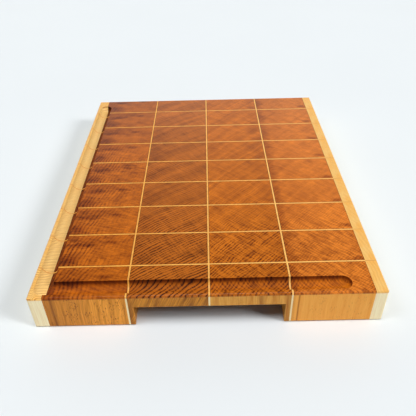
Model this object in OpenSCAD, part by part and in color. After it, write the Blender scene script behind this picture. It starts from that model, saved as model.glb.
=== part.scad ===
// End-grain cutting board of beech blocks and maple lamellas. A tunnel runs under it from
// front to back, and two steel trays slide in the tunnel, one out of each end.
// The origin is on the table below the middle of the board: +X right, +Y back, +Z up.

/* [Board] */
// Width of the board, left to right
board_w = 400; // [360:1:440]
// Depth of the board, front to back
board_d = 500; // [470:1:560]
// Height of the board, from the table to the cutting surface
board_h = 48; // [44:0.5:60]
// Radius of the eased outer edges
edge_r = 2.5; // [1:0.5:4]

/* [Blocks and lamellas] */
// Width of the maple strip along the left edge
left_strip_w = 17.3; // [12:0.1:22]
// Width of the maple strip along the right edge
right_strip_w = 14.4; // [12:0.1:22]
// Distance between neighbouring long lamellas
column_pitch = 92; // [88:0.5:96]
// Distance between neighbouring cross lamellas
row_pitch = 57.5; // [54:0.5:62]
// How far the middle long lamella lies to the right of the board's centre line
seam_shift = 2; // [-4:0.5:4]
// Thickness of a lamella
lamella_t = 2; // [1:0.5:3]

/* [Juice groove] */
// Diameter of the round-nosed cutter that cuts the groove
groove_w = 20; // [19:1:24]
// Depth of the groove
groove_depth = 9.5; // [6:0.5:10]
// Distance from the left and front edges to the groove's centre line
groove_inset = 15.4; // [14:0.1:20]
// Distance from the right edge to the centre of the groove's right end
groove_right_gap = 47.5; // [30:0.5:90]
// Distance from the back edge to the centre of the groove's back end
groove_back_gap = 31; // [20:0.5:90]

/* [Tunnel] */
// Width of beech between a foot's long lamella and the tunnel's wall
foot_lip = 5.75; // [3:0.25:9]
// Height of the tunnel
tunnel_h = 29.5; // [27:0.5:31]
// Radius along the tunnel's lower edges
foot_r = 2.5; // [1:0.5:4]
// Radius round the tunnel's two mouths
mouth_r = 1.5; // [0.5:0.5:3]

/* [Runners and stop] */
// Width of a runner, from the tunnel's wall inwards
runner_w = 9; // [7:0.5:10]
// Height of a runner
runner_h = 10; // [9:0.5:14]
// Gap between the top of a runner and the tunnel's roof
runner_drop = 4.5; // [3:0.5:6]
// Distance from the board's front and back faces to the ends of the runners
runner_setback = 33; // [28:1:60]
// Radius at the inner corners of a runner's ends
runner_nose_r = 5; // [2:0.5:6]
// Thickness of the stop between the trays
stop_t = 12; // [10:1:20]
// Height of the stop below the tunnel's roof
stop_h = 10; // [8:0.5:16]
// Gap between each end of the stop and the runner beside it
stop_gap = 0.2; // [0.1:0.1:0.5]
// Radius of the eased edges of the stop and the runners
strip_r = 1; // [0.5:0.5:2]

/* [Trays] */
// Length of a tray's rim, front to back
tray_l = 210; // [180:1:220]
// Thickness of the steel sheet
sheet_t = 1; // [0.6:0.1:1.2]
// Depth of a tray, from the top of its rim to its underside
tray_h = 22.5; // [18:0.5:24]
// Outer radius of a tray's upright corners
tray_corner_r = 18; // [12:1:30]
// Outer radius of the bend between the walls and the floor
floor_bend_r = 6; // [3:0.5:9]
// Inner radius of the bend between the walls and the rim
rim_bend_r = 2; // [1:0.5:3]
// Width of the rim at the end that meets the stop
inner_rim_w = 10; // [6:1:16]
// Width of the rim at the pull, over the fingers
pull_rim_w = 22; // [18:1:30]
// Height of the turned-down pull
pull_h = 13; // [8:0.5:16]
// Radius of the rim's corners in plan
rim_corner_r = 9; // [4:1:14]
// Clearance between a tray and what it slides past sideways
side_gap = 1.25; // [0.5:0.25:2]
// Clearance between a tray's rim and the runners below it
run_gap = 0.3; // [0.2:0.1:0.5]

/* [Screws] */
// Diameter of the screws' shanks
screw_d = 3; // [2.5:0.5:3.5]
// Diameter of the countersunk heads
screw_head_d = 6; // [5:0.5:7]
// Length of the screws that hold the runners
runner_screw_l = 22; // [16:1:26]
// Length of the screws that hold the stop
stop_screw_l = 20; // [16:1:22]
// Clearance round a screw in its hole
screw_gap = 0.1; // [0.05:0.05:0.2]

/* [Hidden] */
$fn = 64;
columns = 4;
rows = 9;
column_names = ["a", "b", "c", "d"];
seam_names = ["left", "middle", "right"];

// Past: how far a cut runs beyond the surface that it opens
past = 5;
left_x = -board_w / 2;
right_x = board_w / 2;
front_y = -board_d / 2;
back_y = board_d / 2;

// The runners lie against the tunnel's walls, and a tray's rim rides on them
tunnel_x = seam_shift;
wall_x = column_pitch - lamella_t / 2 - foot_lip;
tunnel_w = 2 * wall_x;
runner_x = wall_x - runner_w;
runner_top = tunnel_h - runner_drop;
runner_l = board_d - 2 * runner_setback;

// A tray fills the width between the runners, and its rim the width between the walls
pan_w = 2 * (runner_x - side_gap);
rim_w = 2 * (wall_x - side_gap);
pan_l = tray_l - inner_rim_w - pull_rim_w;
rim_z = runner_top + run_gap + sheet_t;
tray_inner_y = -stop_t / 2 - run_gap;
pull_w = pan_w - 2 * sheet_t;

// Runner screws sit in the middle of these rows, and stop screws under the middle columns
screw_rows = [2, 5, 8];
screw_z = runner_top - runner_h / 2;
stop_screw_x = column_pitch / 2;
head_land = 0.3;
head_depth = head_land + (screw_head_d - screw_d) / 2;
tip_l = 4;
recess_w = 0.9;
recess_l = 3.4;
recess_depth = 1.2;

function block_name(c, r) = str("block_", column_names[c], r);
function long_name(s) = str("long_lamella_", seam_names[s - 1]);
function cross_name(j) = str("cross_lamella_", j);

// Centre lines of the lamellas
function seam_x(s) = seam_shift + (s - columns / 2) * column_pitch;
function cross_y(j) = (j - rows / 2) * row_pitch;

// The four sides of a block
function column_x0(c) = c == 0 ? left_x + left_strip_w : seam_x(c) + lamella_t / 2;
function column_x1(c) =
    c == columns - 1 ? right_x - right_strip_w : seam_x(c + 1) - lamella_t / 2;
function row_y0(r) = r == 1 ? front_y : cross_y(r - 1) + lamella_t / 2;
function row_y1(r) = r == rows ? back_y : cross_y(r) - lamella_t / 2;
function row_mid(r) = (row_y0(r) + row_y1(r)) / 2;

// ---------------------------------------------------------------- shapes that repeat

// Rectangle with round corners, centred on the origin
module rounded_rect(w, h, r) {
    square([w - 2 * r, h], center = true);
    square([w, h - 2 * r], center = true);
    for (sx = [-1, 1], sy = [-1, 1])
        translate([sx * (w / 2 - r), sy * (h / 2 - r)]) circle(r);
}

// What a round-over of radius r takes off the corner at the origin, towards +X and +Y
module corner_waste(r) {
    difference() {
        translate([-past, -past]) square(r + past);
        translate([r, r]) circle(r);
    }
}

// Quarter of a ring: the bend of a sheet, towards +X and +Y
module sheet_bend(inner_r) {
    difference() {
        intersection() {
            circle(inner_r + sheet_t);
            square(inner_r + sheet_t);
        }
        circle(inner_r);
    }
}

// Stands a profile drawn in X and Y up in X and Z, and runs it along +Y by l, from y
module along_y(y, l) {
    translate([0, y + l, 0]) rotate([90, 0, 0]) linear_extrude(l) children();
}

// Countersunk wood screw, its head's face at the origin and its point towards -Z
module screw(l) {
    shank_r = screw_d / 2;
    head_r = screw_head_d / 2;
    difference() {
        rotate_extrude() polygon([
            [0, 0], [head_r, 0], [head_r, -head_land], [shank_r, -head_depth],
            [shank_r, tip_l - l], [0, -l]
        ]);
        for (a = [0, 90]) rotate(a)
            translate([-recess_l / 2, -recess_w / 2, -recess_depth])
                cube([recess_l, recess_w, recess_depth + past]);
    }
}

// The hole that a screw needs, with its countersink
module screw_hole(l) {
    hole_r = screw_d / 2 + screw_gap;
    mouth = screw_head_d / 2 + screw_gap;
    rotate_extrude() polygon([
        [0, past], [mouth, past], [mouth, -head_land], [hole_r, -head_depth],
        [hole_r, -l - screw_gap], [0, -l - screw_gap]
    ]);
}

// Puts a screw or its hole at each place where a runner is held
module at_runner_screws() {
    for (side = [-1, 1], r = screw_rows)
        translate([tunnel_x + side * runner_x, row_mid(r), screw_z])
            rotate([0, -90 * side, 0]) children();
}

// Puts a screw or its hole at each place where the stop is held
module at_stop_screws() {
    for (side = [-1, 1])
        translate([tunnel_x + side * stop_screw_x, 0, tunnel_h - stop_h])
            rotate([180, 0, 0]) children();
}

// ---------------------------------------------------------------- the board's form

// The board before it is cut up: a slab with all its edges eased
module blank() {
    intersection() {
        linear_extrude(board_h) rounded_rect(board_w, board_d, edge_r);
        along_y(front_y, board_d)
            translate([0, board_h / 2]) rounded_rect(board_w, board_h, edge_r);
        translate([left_x, 0, board_h / 2]) rotate([90, 0, 90])
            linear_extrude(board_w) rounded_rect(board_d, board_h, edge_r);
    }
}

// The tunnel with eased lower edges and eased mouths
module tunnel() {
    translate([tunnel_x, 0, 0]) {
        along_y(front_y - past, board_d + 2 * past) {
            translate([-wall_x, -past]) square([tunnel_w, tunnel_h + past]);
            for (side = [0, 1]) mirror([side, 0])
                translate([-wall_x, 0]) mirror([1, 0]) corner_waste(foot_r);
        }
        for (end = [0, 1]) mirror([0, end, 0]) translate([0, front_y, 0]) {
            translate([-wall_x, 0, tunnel_h]) rotate([90, 0, 90])
                linear_extrude(tunnel_w) corner_waste(mouth_r);
            for (side = [0, 1]) mirror([side, 0, 0])
                translate([wall_x, 0, -past])
                    linear_extrude(tunnel_h + past) corner_waste(mouth_r);
        }
    }
}

// The L-shaped juice groove along the left and front edges
module groove() {
    cutter_r = groove_w / 2;
    leg_x = left_x + groove_inset;
    leg_y = front_y + groove_inset;
    leg_z = board_h - groove_depth + cutter_r;
    side_l = back_y - groove_back_gap - leg_y;
    front_l = right_x - groove_right_gap - leg_x;
    translate([leg_x, leg_y, leg_z]) {
        sphere(cutter_r);
        rotate([-90, 0, 0]) cylinder(r = cutter_r, h = side_l);
        translate([0, side_l, 0]) sphere(cutter_r);
        rotate([0, 90, 0]) cylinder(r = cutter_r, h = front_l);
        translate([front_l, 0, 0]) sphere(cutter_r);
    }
}

// One piece of the board, between two planes across and two along, full height
module board_piece(x0, x1, y0, y1) {
    difference() {
        intersection() {
            translate([x0, y0, 0]) cube([x1 - x0, y1 - y0, board_h]);
            blank();
        }
        tunnel();
        groove();
        at_runner_screws() screw_hole(runner_screw_l);
        at_stop_screws() screw_hole(stop_screw_l);
    }
}

// ---------------------------------------------------------------- wooden pieces

module block(c, r) {
    tones = ["#b4683a", "#ac6434", "#b96f3b", "#cf7f44"];
    color(tones[c])
        board_piece(column_x0(c), column_x1(c), row_y0(r), row_y1(r));
}

module long_lamella(s) {
    color("#f2c27e")
        for (r = [1:rows])
            board_piece(seam_x(s) - lamella_t / 2, seam_x(s) + lamella_t / 2,
                row_y0(r), row_y1(r));
}

module cross_lamella(j) {
    color("#eebb78")
        board_piece(left_x, right_x, cross_y(j) - lamella_t / 2, cross_y(j) + lamella_t / 2);
}

module left_edge_strip() {
    color("#f3c887")
        for (r = [1:rows])
            board_piece(left_x, left_x + left_strip_w, row_y0(r), row_y1(r));
}

module right_edge_strip() {
    color("#f3c887")
        for (r = [1:rows])
            board_piece(right_x - right_strip_w, right_x, row_y0(r), row_y1(r));
}

// A strip along one wall of the tunnel. Its inner edges are eased, its ends are rounded
module runner(side) {
    color("#e3b67a")
        difference() {
            translate([tunnel_x, 0, 0]) mirror([side < 0 ? 1 : 0, 0, 0])
                translate([runner_x, -runner_l / 2, runner_top - runner_h])
                    difference() {
                        cube([runner_w, runner_l, runner_h]);
                        for (end = [0, 1])
                            translate([0, end * runner_l, -past]) mirror([0, end, 0])
                                linear_extrude(runner_h + 2 * past)
                                    corner_waste(runner_nose_r);
                        along_y(-past, runner_l + 2 * past) {
                            corner_waste(strip_r);
                            translate([0, runner_h]) mirror([0, 1])
                                corner_waste(strip_r);
                        }
                    }
            at_runner_screws() screw_hole(runner_screw_l);
        }
}

module left_runner() {
    runner(-1);
}

module right_runner() {
    runner(1);
}

// The bar across the tunnel that both trays close against
module tray_stop() {
    stop_l = 2 * (runner_x - stop_gap);
    color("#e3b67a")
        difference() {
            translate([tunnel_x - stop_l / 2, 0, tunnel_h - stop_h]) rotate([90, 0, 90])
                linear_extrude(stop_l) difference() {
                    translate([-stop_t / 2, 0]) square([stop_t, stop_h]);
                    for (side = [0, 1]) mirror([side, 0])
                        translate([-stop_t / 2, 0]) corner_waste(strip_r);
                }
            at_stop_screws() screw_hole(stop_screw_l);
        }
}

// ---------------------------------------------------------------- steel trays

// Section of a tray's wall, from the centre of a corner outwards: floor, wall and rim bend
module wall_section() {
    floor_r = tray_corner_r - floor_bend_r;
    lip_r = tray_corner_r + rim_bend_r;
    bend_top = tray_h - sheet_t - rim_bend_r;
    square([floor_r, sheet_t]);
    translate([floor_r, floor_bend_r]) mirror([0, 1]) sheet_bend(floor_bend_r - sheet_t);
    translate([tray_corner_r - sheet_t, floor_bend_r])
        square([sheet_t, bend_top - floor_bend_r]);
    translate([lip_r, bend_top]) mirror([1, 0]) sheet_bend(rim_bend_r);
}

// The drawn pan, its underside at z = 0, centred on the origin
module pan() {
    half_w = pan_w / 2 - tray_corner_r;
    half_l = pan_l / 2 - tray_corner_r;
    for (sx = [0, 1], sy = [0, 1]) mirror([sx, 0, 0]) mirror([0, sy, 0])
        translate([half_w, half_l, 0]) rotate_extrude(angle = 90) wall_section();
    for (side = [0, 1]) mirror([side, 0, 0])
        along_y(-half_l, 2 * half_l) translate([half_w, 0]) wall_section();
    for (end = [0, 1]) mirror([0, end, 0])
        translate([-half_w, half_l, 0]) rotate([90, 0, 90])
            linear_extrude(2 * half_w) wall_section();
    translate([-half_w, -half_l, 0]) cube([2 * half_w, 2 * half_l, sheet_t]);
}

// The flat rim round the pan. Its front end is wide, for the fingers
module rim() {
    hole_r = tray_corner_r + rim_bend_r;
    linear_extrude(sheet_t) difference() {
        translate([0, (inner_rim_w - pull_rim_w + pull_bend_r()) / 2])
            rounded_rect(rim_w, tray_l - pull_bend_r(), rim_corner_r);
        rounded_rect(pan_w + 2 * rim_bend_r, pan_l + 2 * rim_bend_r, hole_r);
    }
}

function pull_bend_r() = rim_bend_r + sheet_t;

// A tray that opens towards -Y, in its place in the tunnel
module tray() {
    pull_y = -pan_l / 2 - pull_rim_w + pull_bend_r();
    color("#c9ccd0")
        translate([tunnel_x, tray_inner_y - inner_rim_w - pan_l / 2, rim_z - tray_h]) {
            pan();
            translate([0, 0, tray_h - sheet_t]) rim();
            translate([-pull_w / 2, pull_y, tray_h - pull_bend_r()]) rotate([90, 0, 90])
                linear_extrude(pull_w) {
                    mirror([1, 0]) sheet_bend(rim_bend_r);
                    translate([-pull_bend_r(), pull_bend_r() - pull_h])
                        square([sheet_t, pull_h - pull_bend_r()]);
                }
        }
}

module front_tray() {
    tray();
}

module rear_tray() {
    translate([tunnel_x, 0, 0]) rotate(180) translate([-tunnel_x, 0, 0]) tray();
}

// ---------------------------------------------------------------- fasteners

module runner_screws() {
    color("#b9bcc0") at_runner_screws() screw(runner_screw_l);
}

module stop_screws() {
    color("#b9bcc0") at_stop_screws() screw(stop_screw_l);
}

for (c = [0:columns - 1], r = [1:rows])
    block(c, r);
for (s = [1:columns - 1])
    long_lamella(s);
for (j = [1:rows - 1])
    cross_lamella(j);
left_edge_strip();
right_edge_strip();
left_runner();
right_runner();
tray_stop();
front_tray();
rear_tray();
runner_screws();
stop_screws();
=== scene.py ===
"""Looks of an end-grain cutting board that carries two steel trays: its finishes, light and camera."""

import math

import bpy
from mathutils import Matrix, Vector


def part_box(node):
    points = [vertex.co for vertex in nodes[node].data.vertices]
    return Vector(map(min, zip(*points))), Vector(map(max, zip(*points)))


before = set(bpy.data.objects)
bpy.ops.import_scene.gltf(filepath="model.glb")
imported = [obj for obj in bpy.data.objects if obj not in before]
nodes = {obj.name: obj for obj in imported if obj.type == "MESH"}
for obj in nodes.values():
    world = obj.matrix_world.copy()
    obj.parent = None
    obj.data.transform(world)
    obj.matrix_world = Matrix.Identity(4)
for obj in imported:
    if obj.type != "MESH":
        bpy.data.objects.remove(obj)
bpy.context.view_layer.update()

MM = 0.001
X, Y, Z = 0, 1, 2


# ---------------------------------------------------------------- sizes taken from the frame

def span(node, axis):
    """Where a piece starts and ends along an axis, in millimetres."""
    low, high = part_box(node)
    return low[axis] / MM, high[axis] / MM


def middle(node, axis):
    return sum(span(node, axis)) / 2


def width(node, axis):
    start, end = span(node, axis)
    return end - start


# Places and sizes on the board, in millimetres from its middle and from the table
ROWS = 9
ROW_PITCH = middle("cross_lamella_2", Y) - middle("cross_lamella_1", Y)
LAMELLA = width("cross_lamella_1", Y)
LEFT_EDGE, LEFT_SEAM = span("left_edge_strip", X)
RIGHT_SEAM = span("right_edge_strip", X)[0]
FRONT = span("block_b1", Y)[0]
BACK = span("block_b9", Y)[1]
TOP = span("block_b2", Z)[1]


# ---------------------------------------------------------------- shader maths

class Socket:
    """One value in a material. Python's operators on it add Math nodes."""

    def __init__(self, finish, link):
        self.finish = finish
        self.link = link

    def math(self, operation, *terms):
        return self.finish.node("ShaderNodeMath", {"operation": operation}, dict(enumerate(terms)))

    def other(self, output):
        """Another output of the node that this value comes from."""
        return Socket(self.finish, self.link.node.outputs[output])

    def __add__(self, term):
        return self.math("ADD", self, term)

    __radd__ = __add__

    def __sub__(self, term):
        return self.math("SUBTRACT", self, term)

    def __rsub__(self, term):
        return self.math("SUBTRACT", term, self)

    def __mul__(self, term):
        return self.math("MULTIPLY", self, term)

    __rmul__ = __mul__

    def __truediv__(self, term):
        return self.math("DIVIDE", self, term)

    def __pow__(self, term):
        return self.math("POWER", self, term)

    def __abs__(self):
        return self.math("ABSOLUTE", self)

    def floor(self):
        return self.math("FLOOR", self)

    def root(self):
        return self.math("SQRT", self)

    def cosine(self):
        return self.math("COSINE", self)

    def largest(self, term):
        return self.math("MAXIMUM", self, term)

    def smallest(self, term):
        return self.math("MINIMUM", self, term)

    def rise(self, start, end):
        """0 before start and 1 after end, with a smooth step between them. End may lie below start."""
        low, high = min(start, end), max(start, end)
        step = self.finish.node(
            "ShaderNodeMapRange",
            {"interpolation_type": "SMOOTHSTEP", "clamp": True},
            {"Value": self, "From Min": low, "From Max": high},
        )
        return step if start < end else 1 - step

    def between(self, low, high):
        """1 between low and high, with a smooth step of 1 mm just inside them."""
        return self.rise(low, low + 1) * self.rise(high, high - 1)

    def spread(self, low, high):
        """Spreads a value of 0 to 1 from low to high."""
        return low + self * (high - low)

    def swing(self, size):
        """Spreads a value of 0 to 1 about zero, half of the size to either side."""
        return (self - 0.5) * size

    def wave(self, turns=1):
        """1 at each whole number and 0 halfway between them, or so many times as often."""
        return 0.5 + (self * (2 * math.pi * turns)).cosine() * 0.5


def colour(hex_code):
    """Linear red, green, blue and alpha of a colour written as on a screen, by the sRGB curve."""
    parts = [int(hex_code[i:i + 2], 16) / 255 for i in (1, 3, 5)]
    linear = [p / 12.92 if p <= 0.04045 else ((p + 0.055) / 1.055) ** 2.4 for p in parts]
    return (*linear, 1.0)


class Shading:
    """A tree of shader nodes that is being built."""

    # A Mix node's sockets for colours have the names of those for numbers, so they go by their place.
    MIX_SHARE, MIX_FIRST, MIX_SECOND, MIXED = 0, 6, 7, 2

    def __init__(self, owner):
        owner.use_nodes = True
        self.tree = owner.node_tree

    def node(self, kind, settings, inputs, output=0):
        """Adds a node. Its settings are set first, then its sockets get their values or links."""
        made = self.tree.nodes.new(kind)
        for name, value in settings.items():
            setattr(made, name, value)
        for name, value in inputs.items():
            if isinstance(value, Socket):
                self.tree.links.new(value.link, made.inputs[name])
            else:
                made.inputs[name].default_value = value
        return Socket(self, made.outputs[output])

    def feed(self, shader, socket, value):
        self.tree.links.new(value.link, self.tree.nodes[shader].inputs[socket])

    def mix(self, share, first, second, how="MIX"):
        """Goes from the first colour to the second, or multiplies the second into the first."""
        first, second = [colour(c) if isinstance(c, str) else c for c in (first, second)]
        settings = {"data_type": "RGBA", "blend_type": how, "clamp_factor": True}
        inputs = {self.MIX_SHARE: share, self.MIX_FIRST: first, self.MIX_SECOND: second}
        return self.node("ShaderNodeMix", settings, inputs, self.MIXED)

    def stain(self, share, surface, tone):
        """Multiplies a surface's colour by a tone, as a stain does."""
        return self.mix(share, surface, tone, "MULTIPLY")

    def scaled(self, vector, factor):
        inputs = {0: vector, "Scale": factor}
        return self.node("ShaderNodeVectorMath", {"operation": "SCALE"}, inputs)


class Finish(Shading):
    """A material in the making, with the point on the piece that is being shaded, in mm."""

    def __init__(self, name, **constants):
        self.material = bpy.data.materials.new(name)
        super().__init__(self.material)
        for socket, value in constants.items():
            self.tree.nodes["Principled BSDF"].inputs[socket.replace("_", " ")].default_value = value
        spot = self.node("ShaderNodeTexCoord", {}, {}, "Object")
        self.x = self.node("ShaderNodeSeparateXYZ", {}, {0: self.scaled(spot, 1 / MM)})
        self.y, self.z = self.x.other("Y"), self.x.other("Z")
        self.place = (self.x, self.y, self.z)
        # 1 where the surface looks up, 0 where it is upright and -1 where it looks down
        self.facing = self.node("ShaderNodeSeparateXYZ", {}, {0: spot.other("Normal")}, "Z")

    def noise(self, place, size, detail=2.0, roughness=0.5):
        """Noise from 0 to 1 at a place, with a grain of the given size along each axis."""
        x, y, z = [value / grain for value, grain in zip(place, size)]
        vector = self.node("ShaderNodeCombineXYZ", {}, {"X": x, "Y": y, "Z": z})
        inputs = {"Vector": vector, "Scale": 1.0, "Detail": detail, "Roughness": roughness}
        return self.node("ShaderNodeTexNoise", {}, inputs)

    def chance(self, value):
        """A random number from 0 to 1 that stays the same wherever value does."""
        return self.node("ShaderNodeTexWhiteNoise", {"noise_dimensions": "1D"}, {"W": value})

    def bump(self, height, depth):
        """Feeds the shader's normal from a height of 0 to 1 that is depth millimetres deep."""
        inputs = {"Height": height, "Distance": depth * MM, "Strength": 1.0}
        self.coat(Normal=self.node("ShaderNodeBump", {}, inputs))

    def coat(self, **values):
        """Feeds sockets of the material's shader."""
        for socket, value in values.items():
            self.feed("Principled BSDF", socket.replace("_", " "), value)

    def put_on(self, *names):
        for name in names:
            slots = nodes[name].data.materials
            slots.clear()
            slots.append(self.material)


# ---------------------------------------------------------------- where the wood is cut

# The juice groove is less deep than this, and lies further in from the board's faces, in mm
GROOVE_DEPTH = 11
GROOVE_FROM_LEFT = 3
GROOVE_FROM_FRONT = 3
GROOVE_FROM_BACK = 8


def row_of(finish):
    """The row's number, and how far the point is behind the middle of the row."""
    place = finish.y / ROW_PITCH + ROWS / 2
    number = place.floor()
    return number, (place - number - 0.5) * ROW_PITCH


def in_groove(finish):
    """1 on the surface of the juice groove, which lies below the top and doesn't look down."""
    below_top = finish.z.rise(TOP - 0.05, TOP - 0.4)
    above_floor = finish.z.rise(TOP - GROOVE_DEPTH - 1, TOP - GROOVE_DEPTH)
    upwards = finish.facing.rise(-0.1, 0.0)
    across = finish.x.between(LEFT_EDGE + GROOVE_FROM_LEFT, RIGHT_SEAM)
    along = finish.y.between(FRONT + GROOVE_FROM_FRONT, BACK - GROOVE_FROM_BACK)
    return below_top * above_floor * upwards * across * along


def end_grain_share(finish):
    """1 where the fibres are cut across, 0 where they lie along the surface."""
    top = finish.facing.rise(0.02, 0.3)
    eased_edge = finish.z.rise(TOP - 4.0, TOP - 2.8) * 0.8
    underside = finish.facing.rise(-0.7, -0.95)
    return (top + eased_edge + underside).smallest(1.0).largest(in_groove(finish))


# ---------------------------------------------------------------- beech

class Growth:
    """How one column of blocks grew. They were cut from the same plank, one after another."""

    def __init__(self, heart, ring, wobble, tones, fade, lines, clear, rays, mottle, calm,
                 marks, side, lean, flecks, streaks):
        self.heart = heart      # the tree's middle, from the middle of each block, in mm
        self.ring = ring        # width of a year's ring, in mm
        self.wobble = wobble    # how far the rings wander to either side, in mm
        self.tones = tones      # end grain: between the rings' lines, and in them
        self.fade = fade        # brightness of the front rows and of the back rows
        self.lines = lines      # strength of the rings' lines and of their broad bands
        self.clear = clear      # the lines grow clear from the first y on the board to the second
        self.rays = rays        # strength of the fine rays and of the broad ones
        self.mottle = mottle    # strength of the soft clouds
        self.calm = calm        # the lines grow strong from the first x in the block to the second
        self.marks = marks      # dark marks on the end grain: centre, size and strength
        self.side = side        # long grain: between the streaks, and in them
        self.lean = lean        # how far the fibres lean to the right, in mm for each mm of height
        self.flecks = flecks    # strength of the short dark flecks in the long grain
        self.streaks = streaks  # dark streaks in the long grain: middle, width and strength


COLUMNS = {
    "a": Growth(
        heart=(288, -83), ring=4.9, wobble=6.0,
        tones=("#ce6e16", "#6a2a08"), fade=(1.0, 0.88),
        lines=(0.8, 0.1), clear=(90, 10), rays=(0.3, 0.24), mottle=1.0, calm=(25, -10),
        marks=[
            ((-20, 9), (20, 6), 0.9), ((18, 14), (9, 4.5), 0.8), ((-12, 19), (38, 11), 0.5),
            ((-29, -17), (17, 14), 0.9), ((-46, 0), (18, 70), 0.5),
        ],
        side=("#ffaa3e", "#c0761a"), lean=0.04, flecks=1.0,
        streaks=[(-44, 15, 0.65), (-37, 2, 0.7), (-26, 16, 0.4), (-8, 14, 0.3)],
    ),
    "b": Growth(
        heart=(250, -350), ring=3.9, wobble=5.0,
        tones=("#c66c1e", "#502008"), fade=(0.84, 1.12),
        lines=(2.0, 0.25), clear=(-60, -190), rays=(0.4, 0.32), mottle=0.4, calm=(70, 60),
        marks=[((-36, -10), (16, 22), 0.35), ((-18, 4), (14, 7), 0.3)],
        side=("#f09e30", "#8e500c"), lean=0.4, flecks=0.3,
        streaks=[(-45, 6, 0.6), (-12, 7, 0.4), (24, 8, 0.3)],
    ),
    "c": Growth(
        heart=(440, -410), ring=3.5, wobble=6.0,
        tones=("#da781c", "#682806"), fade=(0.82, 1.02),
        lines=(1.1, 0.25), clear=(-60, -190), rays=(0.55, 0.44), mottle=0.4, calm=(70, 60),
        marks=[((38, -22), (9, 7), 0.45), ((34, 8), (12, 16), 0.25)],
        side=("#ffbc56", "#d68226"), lean=-0.04, flecks=0.2,
        streaks=[(12, 5, 0.5), (44, 6, 0.4)],
    ),
    "d": Growth(
        heart=(440, -410), ring=3.1, wobble=4.0,
        tones=("#ee882c", "#8c4010"), fade=(0.92, 0.86),
        lines=(0.45, 0.15), clear=(-60, -190), rays=(0.55, 0.44), mottle=0.6, calm=(70, 60),
        marks=[((-46, 0), (13, 70), 0.7), ((38, -22), (9, 5), 0.8), ((-20, 0), (26, 60), 0.2)],
        side=("#ffb450", "#f4a03c"), lean=0.0, flecks=0.3,
        streaks=[(-38.5, 1.6, 0.8), (-45, 3, 0.3)],
    ),
}

# The figure moves on by this much of the plank from one row to the next, in mm
BEECH_STEP = 21

# The rows darken or pale from the first y to the second, in mm
TO_FRONT = (-40, FRONT)
TO_BACK = (60, BACK - 10)

# What the beech's colour is multiplied by. The groove wall's, the left groove's and the underside's tones
# are painted shade
PORES = "#a08060"
MARKS = "#90643e"
STREAKS = "#ac9468"
FLECKS = "#905c30"
GLUE_LINE = "#8a6840"
GROOVE = "#f9f27c"
GROOVE_WALL_SHADE = "#805834"
LEFT_GROOVE_SHADE = "#a88c70"
UNDERSIDE_SHADE = "#9c8c7c"


class BeechFinish(Finish):
    """The beech of one column, which knows where a point lies in its block and in its plank, in mm."""

    def __init__(self, column, growth):
        super().__init__(f"beech_column_{column}", IOR=1.45, Specular_IOR_Level=0.2)
        self.growth = growth
        self.blocks = [f"block_{column}{row}" for row in range(1, ROWS + 1)]
        middle_block = self.blocks[ROWS // 2]
        row, self.block_y = row_of(self)
        self.block_x = self.x - middle(middle_block, X)
        self.half_width = width(middle_block, X) / 2
        self.luck = self.chance(row + ord(column))
        self.plank = self.z + row * BEECH_STEP
        self.pores = self.noise((self.block_x, self.block_y, self.z), size=(0.55, 0.55, 9))

    def figure(self, size, detail=2.0, roughness=0.5):
        """Noise that goes on through the plank, so it is a little different in each block."""
        return self.noise((self.block_x, self.block_y, self.plank), size, detail, roughness)


def year_lines(wood, radius, wander, weave):
    """The line at each year's end from 0 to 1, the shade that the lines give, and that of broad bands."""
    growth = wood.growth
    strength, band_strength = growth.lines
    ripple = wood.figure(size=(7, 7, 60)).swing(1.4)
    years = (radius + wander * (2 * growth.wobble) + ripple) / growth.ring
    uneven = wood.noise((years, 0.0, 7.0), size=(2, 1, 1)) * 1.2
    years = years + uneven
    line = years.wave() ** 1.7
    fine_lines = years.wave(turns=3).swing(0.3)
    elsewhere = wood.plank + 150
    patch = wood.noise((wood.block_x, wood.block_y, elsewhere), size=(26, 20, 30)).rise(0.3, 0.72)
    lines = (line - 0.5 + fine_lines) * patch.spread(0.2, 1.0) * wood.luck.spread(0.7, 1.3)
    lines = lines * weave.spread(0.7, 1.3) * wood.block_x.rise(*growth.calm).spread(0.3, 1.0) * strength
    band = wood.noise((years, wood.luck * 3, wood.plank), size=(2.2, 1, 60)).rise(0.32, 0.68)
    return line, lines, band.swing(band_strength)


def beech_end_grain(wood):
    """Colour of the end grain, with the rings' lines and the rays from 0 to 1."""
    growth = wood.growth
    light, dark = growth.tones
    fine_rays, broad_rays = growth.rays

    right = wood.block_x - growth.heart[X]
    behind = wood.block_y - growth.heart[Y]
    radius = (right * right + behind * behind).root()
    wander = wood.figure(size=(34, 34, 120), detail=3) - 0.5
    turn = behind.math("ARCTAN2", behind, right) * math.hypot(*growth.heart) + wander * 5
    ray = wood.noise((turn, radius, wood.plank), size=(1.5, 18, 60))
    weave = ray.rise(0.36, 0.64)
    sweep = wood.noise((turn, radius, wood.plank), size=(7, 40, 60), detail=1)

    line, lines, bands = year_lines(wood, radius, wander, weave)
    speckle = wood.figure(size=(4.5, 4.5, 15), detail=3, roughness=0.6).swing(0.8)
    cloud = wood.figure(size=(13, 11, 20), detail=3, roughness=0.55).swing(growth.mottle)
    near = wood.y.rise(*growth.clear).spread(0.25, 1.0)
    fine = (lines + weave.swing(fine_rays) + speckle) * near
    mean = 0.4
    shade = mean + fine + bands + sweep.swing(broad_rays) + cloud
    surface = wood.mix(shade, light, dark)
    return wood.stain(wood.pores.rise(0.46, 0.3) * 0.35, surface, PORES), line, ray


def blot(x, y, centre, size, ragged):
    """A soft oval mark, 1 in its middle, with an edge that a noise makes ragged."""
    core, rim = 0.1, 1.35
    across = (x - centre[X]) / size[X]
    along = (y - centre[Y]) / size[Y]
    reach = (across * across + along * along).root() + ragged
    return reach.rise(rim, core)


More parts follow.
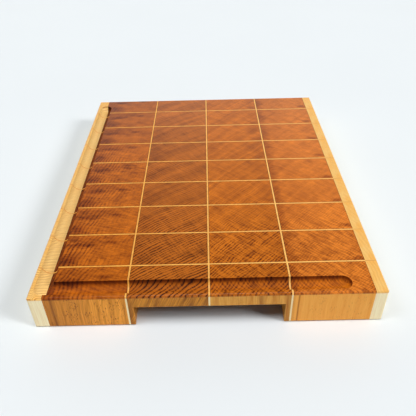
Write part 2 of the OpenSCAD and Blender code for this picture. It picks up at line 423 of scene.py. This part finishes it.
def marked(wood, surface, line):
    """Adds the dark marks, which come back in each block of a column, a little elsewhere each time."""
    ragged = wood.figure(size=(8, 4, 20), detail=3).swing(1.2)
    y = wood.block_y - wood.luck.swing(7)
    for centre, size, strength in wood.growth.marks:
        mark = blot(wood.block_x, y, centre, size, ragged)
        surface = wood.stain(mark * line.spread(0.7, 1.0) * strength, surface, MARKS)
    return surface


def beech_long_grain(wood):
    """Colour of the faces that the fibres run along, and the flecks on them from 0 to 1."""
    growth = wood.growth
    pale, streak = growth.side
    x, y, z = wood.block_x, wood.block_y, wood.z
    drift = wood.noise((x, y, z), size=(12, 12, 16), detail=1).swing(3) - z * growth.lean
    leaning = x + drift
    fibre = wood.noise((leaning, y, z), size=(1, 1, 36), detail=3)
    stripe = wood.noise((leaning, y, z), size=(5, 5, 160))
    surface = wood.mix(stripe.rise(0.34, 0.68) * 0.5 + fibre.rise(0.36, 0.66) * 0.5, pale, streak)
    for centre, size, strength in growth.streaks:
        reach = abs(x - centre + stripe.swing(size)) / size
        surface = wood.stain(reach.rise(1.1, 0.1) * strength, surface, STREAKS)

    elsewhere = leaning + 36
    fleck = wood.noise((elsewhere, y, z), size=(0.9, 0.9, 4.5), detail=1).rise(0.56, 0.7)
    fleck = fleck * wood.noise((x, y, z), size=(11, 11, 14)).rise(0.42, 0.62)
    surface = wood.stain(fleck * growth.flecks, surface, FLECKS)
    lower_edge = wood.z.rise(2.4, 1.0)
    return wood.mix(lower_edge * 0.5, surface, pale), fleck


def cut_tones_and_shade(wood, surface, groove):
    """The end grain is more golden in the groove. Painted shade darkens the groove's steep walls, its left
    leg in the beech, and the faces that look down.
    """
    surface = wood.stain(groove, surface, GROOVE)
    # Painted shade: the steep walls of the groove, which light from above hardly reaches, are darkened
    steep_shade = wood.facing.rise(0.75, 0.3)
    surface = wood.stain(groove * steep_shade * 0.85, surface, GROOVE_WALL_SHADE)
    # Painted shade: the beech wall of the left groove, next to the maple strip, is darkened
    left_leg_shade = wood.x.rise(LEFT_SEAM + 8.5, LEFT_SEAM + 6)
    surface = wood.stain(groove * left_leg_shade * 0.6, surface, LEFT_GROOVE_SHADE)
    # Painted shade: faces that look down, under the board and in the tray tunnel, are greyed and darkened
    return wood.stain(wood.facing.rise(-0.5, -0.9) * 0.8, surface, UNDERSIDE_SHADE)


def beech(column, growth):
    """Coats a column of blocks: end grain on top, underneath and in the groove, long grain elsewhere."""
    wood = BeechFinish(column, growth)
    groove = in_groove(wood)
    cut_across = end_grain_share(wood)
    end_colour, line, ray = beech_end_grain(wood)
    end_colour = cut_tones_and_shade(wood, marked(wood, end_colour, line), groove)
    side_colour, fleck = beech_long_grain(wood)
    surface = wood.mix(cut_across, side_colour, end_colour)

    # A darker glue line where a block meets its lamellas
    to_long = wood.half_width - abs(wood.block_x)
    to_cross = (ROW_PITCH - LAMELLA) / 2 - abs(wood.block_y)
    glue = to_long.smallest(to_cross).rise(0.9, 0.2)
    surface = wood.stain(glue * cut_across * 0.8, surface, GLUE_LINE)

    front, back = growth.fade
    fade = wood.y.rise(*TO_FRONT) * (front - 1) + wood.y.rise(*TO_BACK) * (back - 1)
    wood.coat(Base_Color=wood.scaled(surface, wood.luck.spread(0.97, 1.03) + fade))
    wood.coat(Roughness=wood.pores.spread(0.24, 0.34) + groove * 0.4)
    wood.bump(line * -0.25 + wood.pores * 0.6 - fleck * 0.4 + ray * 0.2, depth=0.05)
    wood.put_on(*wood.blocks)


# ---------------------------------------------------------------- maple

# The figure moves on by this much of the plank from one row to the next, in mm
MAPLE_STEP = 63


def maple_layers(wood, place, years, strength, groove):
    """Colours of maple's end grain and long grain, whose rings are counted by years, and its pores. The
    groove gets painted light.
    """
    line = years.wave() ** 2.5
    cloud = wood.noise(place, size=(14, 22, 60)).rise(0.3, 0.7)
    pores = wood.noise(place, size=(0.6, 0.6, 12))
    end_colour = wood.mix(cloud, "#f9cc78", "#f9bc5c")
    # Painted light: the whole groove in the maple is lightened, standing in for the light on its slopes
    end_colour = wood.mix(groove * 0.6, end_colour, "#ffe094")
    end_colour = wood.mix(line * strength, end_colour, "#b0600e")
    end_colour = wood.stain(pores.rise(0.45, 0.3) * 0.3, end_colour, "#dcb080")
    fibre = wood.noise(place, size=(0.9, 0.9, 40), detail=3).rise(0.35, 0.68)
    side_colour = wood.mix(fibre * 0.55 + line * 0.25, "#fff0c6", "#f0d4a0")
    return end_colour, side_colour, pores


def maple_strip(name, years_of, strength):
    """The maple strip along one edge. Its rings are counted by years_of, from the place in a row."""
    wood = Finish(f"maple_{name}", IOR=1.45, Specular_IOR_Level=0.4)
    row, y = row_of(wood)
    x = wood.x - middle(name, X)
    wander = wood.noise((x, y, wood.z + row * MAPLE_STEP), size=(28, 12, 90)) - 0.5
    years = years_of(x, y, wander)
    end_colour, side_colour, pores = maple_layers(wood, (x, y, wood.z), years, strength, in_groove(wood))
    wood.coat(Base_Color=wood.mix(end_grain_share(wood), side_colour, end_colour))
    wood.coat(Roughness=pores.spread(0.42, 0.5))
    wood.bump(pores, depth=0.03)
    wood.put_on(name)


def left_rings(x, y, wander):
    """Rings that lie across the strip, arch back on its right and slope at the back of each row."""
    ring = 2.5
    arch_middle, arch_half_width, arch_height = 6.75, 10, 9
    from_arch = (x - arch_middle) / arch_half_width
    arch = (1 - from_arch * from_arch).largest(0.0).root() * arch_height
    slope = y.rise(14, 28) * 0.45
    return (y - arch + slope * x + wander * 4) / ring


def right_rings(x, y, wander):
    """Fine rings that run up the strip, leaning to the right."""
    ring = 1.5
    rise = math.radians(66)
    return (x * math.sin(rise) - y * math.cos(rise) + wander * 2) / ring


def lamella_wood():
    """The thin maple lamellas between the blocks. Across the edge strips they show as a brown line."""
    wood = Finish("maple_lamella", IOR=1.45, Specular_IOR_Level=0.35)
    cloud = wood.noise(wood.place, size=(9, 9, 60)).rise(0.3, 0.7)
    grain = wood.noise(wood.place, size=(0.8, 0.8, 30))
    sunlit = wood.x.rise(LEFT_SEAM, RIGHT_SEAM)
    end_colour = wood.mix(cloud * 0.8, "#f4ae48", "#dc9034")
    end_colour = wood.mix(sunlit * 0.6, end_colour, "#ffcc78")
    end_colour = wood.stain(grain.rise(0.46, 0.3) * 0.4, end_colour, "#c08a50")
    side_colour = wood.mix(grain.rise(0.35, 0.65) * 0.6, "#f9e6b4", "#e6c890")

    in_left_strip = wood.x.rise(LEFT_SEAM + 0.1, LEFT_SEAM - 0.1)
    in_strip = in_left_strip + wood.x.rise(RIGHT_SEAM - 0.1, RIGHT_SEAM + 0.1)
    _, y = row_of(wood)
    to_joint = ROW_PITCH / 2 - abs(y)
    brown = in_strip * to_joint.rise(0.75, 0.25)
    end_colour = wood.mix(in_strip, end_colour, "#f4bd68")
    end_colour = wood.stain(brown * 0.7, end_colour, "#c88a40")

    wood.coat(Base_Color=wood.mix(end_grain_share(wood), side_colour, end_colour))
    wood.coat(Roughness=grain.spread(0.4, 0.5))
    wood.bump(grain, depth=0.03)
    wood.put_on(*[f"long_lamella_{seam}" for seam in ("left", "middle", "right")])
    wood.put_on(*[f"cross_lamella_{joint}" for joint in range(1, ROWS)])


def runner_wood():
    """Oiled maple of the runners and the stop, its fibres along the piece."""
    for name, along in (("left_runner", Y), ("right_runner", Y), ("tray_stop", X)):
        wood = Finish(f"maple_{name}", IOR=1.45, Specular_IOR_Level=0.35)
        fibre_size = [45 if axis == along else 0.8 for axis in (X, Y, Z)]
        band_size = [160 if axis == along else 3.5 for axis in (X, Y, Z)]
        fibre = wood.noise(wood.place, fibre_size, detail=3)
        band = wood.noise(wood.place, band_size)
        surface = wood.mix(band.rise(0.35, 0.65), "#d0a060", "#b8823e")
        surface = wood.mix(fibre.rise(0.4, 0.68) * 0.5, surface, "#94602c")
        wood.coat(Base_Color=surface)
        wood.coat(Roughness=fibre.spread(0.42, 0.54))
        wood.bump(fibre, depth=0.04)
        wood.put_on(name)


# ---------------------------------------------------------------- metal

def tray_steel():
    """Stainless sheet with a brushed finish that runs along the trays."""
    metal = Finish("brushed_steel", Metallic=1.0)
    brush = metal.noise(metal.place, size=(0.25, 55, 0.25), detail=3)
    haze = metal.noise(metal.place, size=(60, 60, 60))
    metal.coat(Base_Color=metal.mix(brush.rise(0.3, 0.7), "#aaabac", "#bfc0c1"))
    metal.coat(Roughness=brush.spread(0.24, 0.38) + haze * 0.06)
    metal.bump(brush, depth=0.012)
    metal.put_on("front_tray", "rear_tray")


def screw_zinc():
    """Bright zinc, a little clouded."""
    metal = Finish("zinc_plating", Metallic=1.0)
    cloud = metal.noise(metal.place, size=(1.6, 1.6, 1.6), detail=3)
    metal.coat(Base_Color=metal.mix(cloud.rise(0.35, 0.65), "#c9ced2", "#aab0b4"))
    metal.coat(Roughness=cloud.spread(0.26, 0.46))
    metal.bump(cloud, depth=0.01)
    metal.put_on("runner_screws", "stop_screws")


# ---------------------------------------------------------------- floor, light and camera

def floor():
    """A white table, just below the board's feet."""
    size = 8.0
    below = 0.0002
    bpy.ops.mesh.primitive_plane_add(size=size, location=(0, 0, -below))
    plane = bpy.context.object
    plane.name = "floor"
    paint = Finish("white_table", Roughness=0.6, Specular_IOR_Level=0.3)
    cloud = paint.noise(paint.place, size=(300, 300, 300), detail=1)
    paint.coat(Base_Color=paint.mix(cloud, "#e4e9ec", "#e7ecef"))
    plane.data.materials.append(paint.material)


def light(name, bearing, height, spread, strength):
    """A soft light from far off: bearing to the right of the front, height above the table, in degrees."""
    made = bpy.data.lights.new(name, "SUN")
    made.angle = math.radians(spread)
    made.energy = strength
    holder = bpy.data.objects.new(name, made)
    bpy.context.scene.collection.objects.link(holder)
    level = math.cos(math.radians(height))
    aside, ahead = math.sin(math.radians(bearing)), math.cos(math.radians(bearing))
    source = Vector((level * aside, -level * ahead, math.sin(math.radians(height))))
    holder.rotation_euler = source.to_track_quat("Z", "Y").to_euler()


def surroundings():
    """A dim studio: a bright wall behind, a weaker one on the left, a low glow from the right in front."""
    ambient = 0.03
    world = bpy.data.worlds.new("studio")
    bpy.context.scene.world = world
    sky = Shading(world)
    x = sky.node("ShaderNodeSeparateXYZ", {}, {0: sky.node("ShaderNodeTexCoord", {}, {})})
    y, z = x.other("Y"), x.other("Z")
    low = z.rise(0.75, 0.3)
    wall_behind = y.rise(0.1, 0.8) * 1.15
    wall_left = x.rise(-0.3, -0.95) * 0.25
    right_in_front = (x - y) * 0.7
    glow = right_in_front.rise(0.6, 0.95) * z.rise(0.3, 0.1) * 1.5
    sky.feed("Background", "Strength", ambient + low * (wall_behind + wall_left) + glow)
    sky.tree.nodes["Background"].inputs["Color"].default_value = colour("#f6faf8")


def camera():
    """The photo's viewpoint: from in front, a little right of the middle, looking down on the board."""
    place = (0.0049, -0.6130, 0.4452)
    turned = math.radians(0.28)
    tipped = math.radians(52.63)
    rolled = math.radians(-1.46)
    view = bpy.data.cameras.new("camera")
    view.lens = 41.84
    view.sensor_width = 36
    holder = bpy.data.objects.new("camera", view)
    bpy.context.scene.collection.objects.link(holder)
    turn = Matrix.Rotation(turned, 4, "Z") @ Matrix.Rotation(tipped, 4, "X")
    turn = turn @ Matrix.Rotation(rolled, 4, "Z")
    holder.matrix_world = Matrix.Translation(place) @ turn
    bpy.context.scene.camera = holder


for column, growth in COLUMNS.items():
    beech(column, growth)
maple_strip("left_edge_strip", left_rings, strength=0.75)
maple_strip("right_edge_strip", right_rings, strength=0.6)
lamella_wood()
runner_wood()
tray_steel()
screw_zinc()

floor()
light("ceiling", bearing=0, height=80, spread=30, strength=1.5)
light("right_window", bearing=70, height=35, spread=18, strength=1.65)
light("left_window", bearing=-78, height=56, spread=24, strength=0.75)
surroundings()
camera()
bpy.context.scene.view_settings.view_transform = "Standard"
